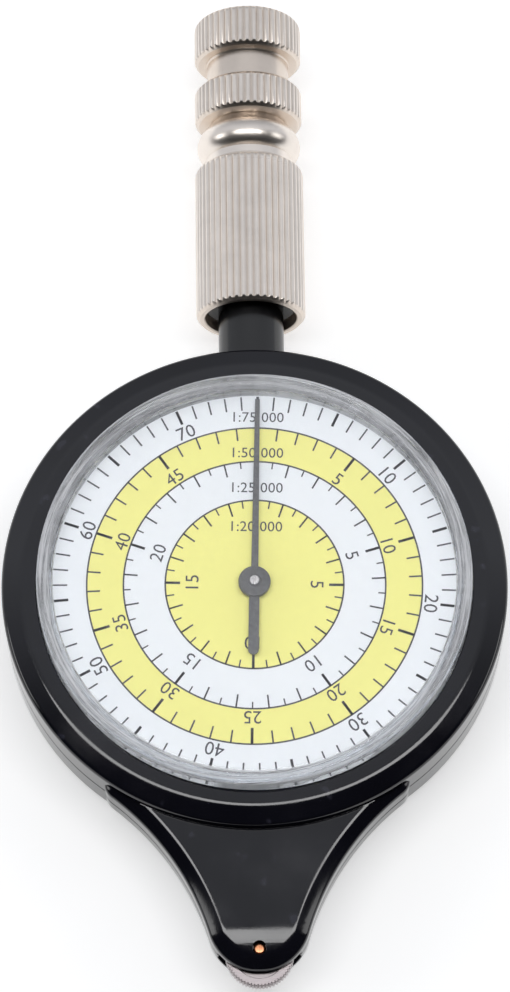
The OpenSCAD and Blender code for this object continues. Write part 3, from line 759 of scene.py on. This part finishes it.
def lensCup(name):
    p = lensPlan
    inner = lensR - p["wall"]
    under = faceH - p["faceT"]
    profile = [(inner, dialH), (lensR - p["footR"], dialH), (lensR, dialH + p["footR"])]
    profile += arc(lensR - p["edgeR"], faceH - p["edgeR"], p["edgeR"], p["edgeR"], 0, 90, 8)
    profile += [(0, faceH), (0, under)]
    profile += arc(inner - p["innerR"], under - p["innerR"], p["innerR"], p["innerR"], 90, 0, 4)
    obj = lathe(name, profile, p["steps"], loop=True)
    smooth(obj, 30)
    return obj


frontLens = lensCup("lensFront")
dress(frontLens, acrylic, "housing", "lens_clear", "front_lens")
rearLens = turnedCopy(frontLens, "lensRear")
smooth(rearLens, 30)
dress(rearLens, acrylic, "housing", "lens_clear", "rear_lens")
print("lenses made")


# ---------- dial printing ----------

inkH = dialH + 0.012


def tickSet(name, inner, outer, width, count):
    # one upright tick at the top, spun into a full ring of copies
    deselectAll()
    bpy.ops.mesh.primitive_plane_add(size=mm)
    obj = bpy.context.object
    obj.name = name
    startEdit(obj)
    bpy.ops.mesh.select_all(action="SELECT")
    bpy.ops.transform.resize(value=(width, outer - inner, 1))
    bpy.ops.transform.translate(value=(0, (inner + outer) / 2 * mm, (midZ + inkH) * mm))
    bpy.ops.mesh.spin(steps=count, angle=2 * math.pi, center=(0, 0, 0), axis=(0, 0, 1), dupli=True)
    bpy.ops.mesh.select_all(action="SELECT")
    bpy.ops.mesh.remove_doubles(threshold=0.003 * mm)
    endEdit()
    return obj


def ringLine(name, radius, width):
    deselectAll()
    bpy.ops.mesh.primitive_circle_add(vertices=240, radius=(radius - width / 2) * mm)
    obj = bpy.context.object
    obj.name = name
    startEdit(obj)
    bpy.ops.mesh.select_all(action="SELECT")
    bpy.ops.transform.translate(value=(0, 0, (midZ + inkH) * mm))
    grow = (radius + width / 2) / (radius - width / 2)
    bpy.ops.mesh.extrude_region_move(TRANSFORM_OT_translate={"value": (0, 0, 0)})
    bpy.ops.transform.resize(value=(grow, grow, 1), center_override=(0, 0, (midZ + inkH) * mm))
    endEdit()
    return obj


def word(text, size, radius, degrees, squeeze=1.0):
    # a number or scale with its middle on a radius, its top outwards; drawn large, where counters stay open
    deselectAll()
    bpy.ops.object.text_add(location=(0, 0, 0))
    obj = bpy.context.object
    obj.data.body = text
    obj.data.size = size
    obj.data.align_x, obj.data.align_y = "CENTER", "CENTER"
    obj.data.space_character = 1.02
    obj.data.resolution_u = 3
    bpy.ops.object.convert(target="MESH")
    obj = bpy.context.object
    startEdit(obj)
    bpy.ops.mesh.select_all(action="SELECT")
    bpy.ops.transform.resize(value=(squeeze * mm, mm, mm), center_override=(0, 0, 0))
    bpy.ops.transform.translate(value=(0, radius * mm, (midZ + inkH) * mm))
    endEdit()
    turnAbout(obj, -degrees)
    return obj


def dialPrint(name, scaleNames):
    p = dialPlan
    parts = [ringLine("ring", r, p["lineW"] * 0.9) for r in p["rings"]]
    for s, label, labelY in zip(p["scales"], scaleNames, p["labelY"]):
        parts.append(tickSet("plain", s["to"], s["from"], s["plainW"], s["count"]))
        parts.append(tickSet("bold", s["boldTo"], s["from"], s["boldW"], s["count"] // s["bold"]))
        if s["half"]:
            parts.append(tickSet("half", s["from"] - s["half"], s["from"], s["plainW"] * 0.85, s["count"] * 2))
        for value in range(s["step"], s["top"], s["step"]):
            parts.append(word(str(value), s["numberSize"], s["numberR"], 360 * value / s["top"]))
        parts.append(word(label, p["labelSize"], labelY, 0))
    obj = join(name, parts)
    startEdit(obj, "FACE")
    bpy.ops.mesh.select_all(action="SELECT")
    chooseFaces(obj, lambda mid, n: n.z < 0)
    bpy.ops.mesh.flip_normals()
    endEdit()
    return obj


frontPrint = dialPrint("dialPrintFront", ("1:75 000", "1:50 000", "1:25 000", "1:20 000"))
turnAbout(frontPrint, -handTurn)
dress(frontPrint, ink, "housing", "dial_print")
rearPrint = turnedCopy(dialPrint("rearPrintDraft", ("1:100 000", "1:40 000", "1:30 000", "1:15 000")), "dialPrintRear")
bpy.data.objects.remove(bpy.data.objects["rearPrintDraft"])
turnAbout(rearPrint, -handTurn)
dress(rearPrint, ink, "housing", "dial_print")
for nodeName in ("front_dial", "rear_dial"):
    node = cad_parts[nodeName]
    node.data.materials.clear()
    node.data.materials.append(card)
print("dials printed")


# ---------- hands ----------

handPlan = {"hubR": 1.575, "hubLow": 3.2, "hubTop": 3.8, "plateLow": 3.375, "plateTop": 3.625,
            "length": 19.3, "rootW": 0.72, "tipW": 0.46, "tailW": 1.03, "tailLen": 7.5, "tipR": 0.45, "bevel": 0.06}


def handPiece(name):
    p = handPlan
    b = 0.1
    hub = lathe("hub", [(p["tipR"], p["hubLow"]), (p["hubR"] - b, p["hubLow"]), (p["hubR"], p["hubLow"] + b),
                        (p["hubR"], p["hubTop"] - b)] + arc(p["hubR"] - b, p["hubTop"] - b, b, b, 0, 90, 4)[1:]
                + [(p["tipR"] + 0.25, p["hubTop"]), (p["tipR"] + 0.18, p["hubTop"] - 0.06),
                   (p["tipR"], p["hubTop"] - 0.06)], 72, loop=True)
    deselectAll()
    bpy.ops.mesh.primitive_plane_add(size=mm)
    blade = bpy.context.object
    startEdit(blade)
    bpy.ops.mesh.select_all(action="SELECT")
    bpy.ops.transform.resize(value=(1, p["length"], 1))
    bpy.ops.transform.translate(value=(0, p["length"] / 2 * mm, 0))
    choose(blade, lambda v: v.y > 1)
    bpy.ops.transform.resize(value=(p["tipW"], 1, 1), center_override=(0, 0, 0))
    choose(blade, lambda v: v.y < 1)
    bpy.ops.transform.resize(value=(p["rootW"], 1, 1), center_override=(0, 0, 0))
    endEdit()
    deselectAll()
    bpy.ops.mesh.primitive_circle_add(vertices=32, radius=p["tailW"] / 2 * mm, fill_type="NGON")
    tail = bpy.context.object
    startEdit(tail)
    choose(tail, lambda v: v.y > 0.01)
    bpy.ops.transform.translate(value=(0, (p["tailLen"] - p["tailW"] / 2) * mm, 0))
    bpy.ops.mesh.select_all(action="SELECT")
    bpy.ops.transform.translate(value=(0, -(p["tailLen"] - p["tailW"] / 2) * mm, 0))
    endEdit()
    plates = []
    for plate in (blade, tail):
        startEdit(plate, "FACE")
        bpy.ops.mesh.select_all(action="SELECT")
        bpy.ops.transform.translate(value=(0, 0, (midZ + p["plateLow"]) * mm))
        rise = (p["plateTop"] - p["plateLow"]) * mm
        bpy.ops.mesh.extrude_region_move(TRANSFORM_OT_translate={"value": (0, 0, rise)})
        bpy.ops.mesh.select_all(action="SELECT")
        bpy.ops.mesh.normals_make_consistent(inside=False)
        chooseFaces(plate, lambda mid, n: n.z > 0.9)
        bpy.ops.mesh.region_to_loop()
        bpy.ops.mesh.bevel(offset=p["bevel"] * mm, segments=2, affect="EDGES")
        endEdit()
        plates.append(plate)
    obj = join(name, [hub] + plates)
    startEdit(obj)
    closeUp(obj, merge=0.0003)
    smooth(obj, 30)
    return obj


frontHand = handPiece("handFront")
rearHand = turnedCopy(frontHand, "handRear")
turnAbout(frontHand, -handTurn)
turnAbout(rearHand, -handTurn)
smooth(frontHand, 30)
smooth(rearHand, 30)
dress(frontHand, handPaint, "hands", "hand_black", "front_hand")
dress(rearHand, handPaint, "hands", "hand_black", "rear_hand")
print("hands made")


# ---------- tracing wheel and its pin ----------

wheelPlan = {"teeth": 60, "toothH": 0.16, "rim": 0.75, "dish": 0.25, "bossR": 1.4, "boreR": 0.6, "edge": 0.08}


def tracingWheel():
    p = wheelPlan
    perTooth = 6
    deselectAll()
    bpy.ops.mesh.primitive_circle_add(vertices=p["teeth"] * perTooth, radius=wheelR * mm, fill_type="NOTHING")
    obj = bpy.context.object
    obj.name = obj.data.name = "tracingWheel"
    pitch = 360 / p["teeth"]
    startEdit(obj)
    # vees between teeth: each column's share of the depth
    for column, share in ((2, 0.5), (3, 1.0), (4, 0.5)):
        def isColumn(v):
            place = (math.degrees(math.atan2(v.y, v.x)) % pitch) / pitch * perTooth
            return abs((place - column + perTooth / 2) % perTooth - perTooth / 2) < 0.1
        choose(obj, isColumn)
        k = 1 - share * p["toothH"] / wheelR
        bpy.ops.transform.resize(value=(k, k, 1), center_override=(0, 0, 0))
    bpy.ops.mesh.select_all(action="SELECT")
    bpy.ops.transform.translate(value=(0, 0, (midZ - wheelHalf + p["edge"]) * mm))
    bpy.ops.mesh.extrude_region_move(TRANSFORM_OT_translate={"value": (0, 0, 2 * (wheelHalf - p["edge"]) * mm)})
    # front face from the teeth to the bore, as rings of smaller and smaller circles
    inner = wheelR - p["rim"]
    steps = [(wheelR - p["edge"], p["edge"]), (inner + 0.05, 0), (inner - 0.05, -p["dish"]),
             (p["bossR"] + 0.05, 0), (p["bossR"] - 0.03, p["dish"]), (p["boreR"], 0)]
    now = wheelR
    for radius, rise in steps:
        bpy.ops.mesh.extrude_region_move(TRANSFORM_OT_translate={"value": (0, 0, rise * mm)})
        k = radius / now
        bpy.ops.transform.resize(value=(k, k, 1), center_override=(0, 0, 0))
        if radius == inner + 0.05:
            bpy.ops.transform.tosphere(value=1.0, center_override=(0, 0, (midZ + wheelHalf) * mm))
        now = radius
    # lower half as the mirror of the upper
    bpy.ops.mesh.select_all(action="SELECT")
    bpy.ops.mesh.bisect(plane_co=(0, 0, midZ * mm), plane_no=(0, 0, 1), clear_inner=True)
    bpy.ops.mesh.select_all(action="SELECT")
    bpy.ops.mesh.duplicate()
    bpy.ops.transform.resize(value=(1, 1, -1), center_override=(0, 0, midZ * mm))
    bpy.ops.mesh.select_all(action="SELECT")
    bpy.ops.mesh.remove_doubles(threshold=0.002 * mm)
    # bore wall
    bm = bmesh.from_edit_mesh(obj.data)
    bpy.ops.mesh.select_mode(type="EDGE")
    for e in bm.edges:
        e.select = e.is_boundary
    bm.select_flush_mode()
    bmesh.update_edit_mesh(obj.data)
    bpy.ops.mesh.bridge_edge_loops()
    bpy.ops.mesh.select_mode(type="VERT")
    bpy.ops.mesh.select_all(action="SELECT")
    bpy.ops.transform.translate(value=(0, wheelY * mm, 0))
    closeUp(obj)
    smooth(obj, 25)
    return obj


wheel = tracingWheel()
dress(wheel, wheelMetal, "tracer", "wheel_nickel", "tracing_wheel")


def axlePin():
    half, r, flat, crown = 2.09, 0.6, 0.34, 0.3
    profile = [(0, -half), (flat, -half)] + arc(flat, -half + crown, r - flat, crown, -80, 0, 6)
    profile += arc(flat, half - crown, r - flat, crown, 0, 80, 6) + [(flat, half), (0, half)]
    obj = lathe("axlePin", profile, 48)
    startEdit(obj)
    bpy.ops.mesh.select_all(action="SELECT")
    bpy.ops.transform.translate(value=(0, wheelY * mm, 0))
    endEdit()
    smooth(obj, 30)
    return obj


dress(axlePin(), copper, "tracer", "axle_copper", "wheel_axle")
print("wheel made")


# ---------- stem, collar and handle ----------

stemPlan = {"r": 3.3, "from": 24.5, "to": 39.8, "rodR": 1.6, "rodFrom": 18.0, "bevel": 0.15}
collarPlan = {"outerR": 4.61, "innerR": 3.33, "from": 30.8, "to": 39.8, "face": 0.6}


def stemPiece():
    p = stemPlan
    b = p["bevel"]
    profile = [(0, p["rodFrom"]), (p["rodR"] - b, p["rodFrom"]), (p["rodR"], p["rodFrom"] + b), (p["rodR"], p["from"]),
               (p["r"] - b, p["from"]), (p["r"], p["from"] + b), (p["r"], p["to"] - b), (p["r"] - b, p["to"]),
               (0, p["to"])]
    obj = lathe("stemPost", profile, 128, along="Y")
    smooth(obj, 30)
    return obj


def collarPiece():
    p = collarPlan
    profile = [(p["innerR"], p["from"] + p["face"]), (p["innerR"] + 0.06, p["from"] + p["face"] - 0.05),
               (p["outerR"] - 0.12, p["from"] + 0.02), (p["outerR"], p["from"] + 0.1), (p["outerR"], p["to"] - 0.1),
               (p["outerR"] - 0.1, p["to"]), (p["innerR"] + 0.1, p["to"]), (p["innerR"], p["to"] - 0.1)]
    obj = lathe("collarRing", profile, 128, along="Y", loop=True)
    smooth(obj, 30)
    return obj


def endLimit(distance, radius, kind):
    # radius that the end of a knurled part allows, at a distance from its end
    p = handlePlan
    if kind == "bevel":
        b = p["mouthBevel"]
        return radius if distance >= b else radius - (b - distance)
    s = p["shoulder"]
    if distance >= s:
        return radius
    return radius - s + math.sqrt(max(s * s - (s - distance) ** 2, 0))


def knurledBand(name, radius, start, stop, lowKind, highKind):
    # a tube whose rows follow the ends and whose columns follow the ridges
    p = handlePlan
    ridge, n = p["ridges"], p["perRidge"]
    depths = [0, 0.06, 0.34, 0.78, 1.0, 0.78, 0.34, 0.06]  # share of the groove's depth in each column
    pitch = 360 / ridge
    rows = []
    for kind, side in ((lowKind, 0), (highKind, 1)):
        reach = p["mouthBevel"] if kind == "bevel" else p["shoulder"]
        spots = [0, 0.12, 0.3, 0.55, 0.8, 1.0] if kind == "round" else [0, 0.35, 0.7, 1.0]
        rows += [(start + s * reach, s * reach, kind) if side == 0 else (stop - s * reach, s * reach, kind)
                 for s in spots]
    rows = sorted(rows)
    deselectAll()
    bpy.ops.mesh.primitive_circle_add(vertices=ridge * n, radius=radius * mm, fill_type="NOTHING")
    obj = bpy.context.object
    obj.name = obj.data.name = name
    startEdit(obj)
    bpy.ops.mesh.select_all(action="SELECT")
    bpy.ops.transform.rotate(value=math.pi / 2, orient_axis="X", center_override=(0, 0, 0))
    bpy.ops.transform.translate(value=(0, rows[0][0] * mm, midZ * mm))
    for a, b in zip(rows, rows[1:]):
        bpy.ops.mesh.extrude_region_move(TRANSFORM_OT_translate={"value": (0, (b[0] - a[0]) * mm, 0)})
    levels = sorted(set(depths))
    for y, distance, kind in rows:
        limit = endLimit(distance, radius, kind)
        for level in levels:
            wanted = min(radius - level * p["depth"], limit)
            if abs(wanted - radius) < 1e-4:
                continue

            def isSpot(v):
                if abs(v.y - y) > 0.004:
                    return False
                place = (math.degrees(math.atan2(v.z - midZ, v.x)) % pitch) / pitch * n
                return abs(depths[round(place) % n] - level) < 1e-6
            choose(obj, isSpot)
            k = wanted / radius
            bpy.ops.transform.resize(value=(k, 1, k), center_override=(0, 0, midZ * mm))
    endEdit()
    return obj


def capTo(obj, y, radius, sink=0.0):
    # closes an end row inwards to a round opening of the given radius
    startEdit(obj)
    choose(obj, lambda v: abs(v.y - y) < 0.004)
    bpy.ops.mesh.extrude_region_move(TRANSFORM_OT_translate={"value": (0, sink * mm, 0)})
    rs = []
    bm = bmesh.from_edit_mesh(obj.data)
    rs = [math.hypot(v.co.x, v.co.z - midZ * mm) / mm for v in bm.verts if v.select]
    bpy.ops.transform.tosphere(value=1.0, center_override=(0, (y + sink) * mm, midZ * mm))
    bm = bmesh.from_edit_mesh(obj.data)
    rs = [math.hypot(v.co.x, v.co.z - midZ * mm) / mm for v in bm.verts if v.select]
    k = radius / (sum(rs) / len(rs))
    bpy.ops.transform.resize(value=(k, 1, k), center_override=(0, 0, midZ * mm))
    return obj


def handlePiece():
    p = handlePlan
    sleeve = knurledBand("sleeve", p["sleeveR"], handleY, p["sleeveTo"], "bevel", "round")
    capTo(sleeve, p["sleeveTo"], p["grooveR"] - 0.02)
    endEdit()
    capTo(sleeve, handleY, p["boreR"] + 0.12)
    for radius, move in ((p["boreR"], 0.12), (p["boreR"], p["boreTo"] - handleY - 0.12), (0.02, 0)):
        bpy.ops.mesh.extrude_region_move(TRANSFORM_OT_translate={"value": (0, move * mm, 0)})
        bm = bmesh.from_edit_mesh(sleeve.data)
        rs = [math.hypot(v.co.x, v.co.z - midZ * mm) / mm for v in bm.verts if v.select]
        k = radius / (sum(rs) / len(rs))
        bpy.ops.transform.resize(value=(k, 1, k), center_override=(0, 0, midZ * mm))
    bpy.ops.mesh.merge(type="CENTER")
    endEdit()
    lowRing = knurledBand("lowRing", p["ringR"], p["ring"][0], p["ring"][1], "bevel", "bevel")
    capTo(lowRing, p["ring"][0], p["underR"] + 0.4)
    endEdit()
    capTo(lowRing, p["ring"][1], p["waistR"] - 0.02)
    endEdit()
    topRing = knurledBand("topRing", p["ringR"], p["waistTo"], handleEnd, "bevel", "round")
    capTo(topRing, p["waistTo"], p["waistR"] - 0.02)
    endEdit()
    capTo(topRing, handleEnd, 0.02)
    bpy.ops.mesh.merge(type="CENTER")
    endEdit()
    # plain turned core: groove, bead and waist
    s, r = p["beadSection"], p["beadR"] - p["beadSection"]
    core = [(p["grooveR"] - 0.3, p["sleeveTo"] - 0.3), (p["grooveR"], p["sleeveTo"] + 0.02)]
    core += arc(r, p["beadY"], s, s, -55, 60, 16)
    core += [(p["underR"] + 0.75, p["ring"][0] - 0.32), (p["underR"] + 0.6, p["ring"][0] + 0.1),
             (p["underR"], p["ring"][0] + 0.4), (p["waistR"], p["ring"][1] - 0.2), (p["waistR"], p["ring"][1] + 0.08),
             (p["waistR"] - 0.1, p["ring"][1] + 0.22), (p["waistR"] - 0.1, p["waistTo"] - 0.22),
             (p["waistR"], p["waistTo"] - 0.08), (p["waistR"], p["waistTo"] + 0.3)]
    middle = lathe("core", core, 192, along="Y")
    obj = join("knurledHandle", [sleeve, lowRing, topRing, middle])
    startEdit(obj)
    closeUp(obj, merge=0.001)
    smooth(obj, 28)
    return obj


dress(stemPiece(), stemBlack, "housing", "stem_plastic", "handle_stem")
dress(collarPiece(), stemBlack, "housing", "stem_plastic", "handle_collar")
dress(handlePiece(), platedMetal, "housing", "handle_metal", "knurled_handle")
print("handle made")


# ---------- inner train ----------

trainFinish = {"centre_arbor": steel, "first_arbor": steel, "first_pinion": steel, "idler_pin": steel,
               "centre_gear": brass, "first_gear": brass, "idler_gear": brass, "wheel_pinion": brass}
for nodeName, material in trainFinish.items():
    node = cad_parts[nodeName]
    node.data.materials.clear()
    node.data.materials.append(material)
print("train finished")


# ---------- floor, light and camera ----------

def makeFloor():
    deselectAll()
    bpy.ops.mesh.primitive_plane_add(size=3.0, location=(0, 0, 0))
    floor = bpy.context.object
    floor.name = floor.data.name = "paperFloor"
    floor.data.materials.append(paper)


def areaLamp(name, place, aim, size, power, sizeY=None):
    deselectAll()
    bpy.ops.object.light_add(type="AREA", location=place)
    lamp = bpy.context.object
    lamp.name = name
    lamp.data.shape = "RECTANGLE"
    lamp.data.size, lamp.data.size_y = size, sizeY or size
    lamp.data.energy = power
    lamp.rotation_euler = (Vector(aim) - Vector(place)).to_track_quat("-Z", "Y").to_euler()
    return lamp


def makeWorld():
    world = bpy.data.worlds.new("studio")
    bpy.context.scene.world = world
    world.use_nodes = True
    nodes, links = world.node_tree.nodes, world.node_tree.links
    back = nodes["Background"]
    back.inputs["Color"].default_value = (0.91, 0.94, 1, 1)
    # pale above and behind the object, dark on the side of the camera
    coord = nodes.new("ShaderNodeTexCoord")
    axes = nodes.new("ShaderNodeSeparateXYZ")
    level = nodes.new("ShaderNodeMapRange")
    level.inputs["From Min"].default_value = -1
    tone = nodes.new("ShaderNodeValToRGB")
    bar = tone.color_ramp
    stops = ((-0.1, 0.02), (0.42, 0.74), (0.6, 0.64), (0.9, 0.4))
    while len(bar.elements) < len(stops):
        bar.elements.new(0.5)
    for element, (y, value) in zip(bar.elements, stops):
        element.position = (y + 1) / 2
        element.color = (value, value, value, 1)
    links.new(coord.outputs["Generated"], axes.inputs[0])
    links.new(axes.outputs["Y"], level.inputs["Value"])
    links.new(level.outputs["Result"], tone.inputs["Fac"])
    links.new(tone.outputs["Color"], back.inputs["Strength"])


def makeCamera():
    deselectAll()
    place = (0.16 * mm, -136.2 * mm, 388.3 * mm)
    bpy.ops.object.camera_add(location=place)
    camera = bpy.context.object
    tilt = Matrix.Rotation(math.radians(20.99), 3, "X") @ Matrix.Rotation(math.radians(-0.78), 3, "Z")
    camera.rotation_euler = tilt.to_euler()
    camera.data.lens = 149.17
    camera.data.sensor_width = 36
    camera.data.clip_start, camera.data.clip_end = 0.01, 10
    bpy.context.scene.camera = camera


makeFloor()
makeWorld()
areaLamp("keySoftbox", (0.0, 0.01, 0.9), (0, 0.01, 0), 0.95, 3.2, sizeY=0.2)
areaLamp("leftSoftbox", (-0.8, 0.0, 0.4), (0, 0, 0), 0.3, 0.75)
areaLamp("rightSoftbox", (0.8, 0.0, 0.4), (0, 0, 0), 0.3, 0.55)
makeCamera()
bpy.context.scene.view_settings.view_transform = "Standard"
print("stage set")

deselectAll()
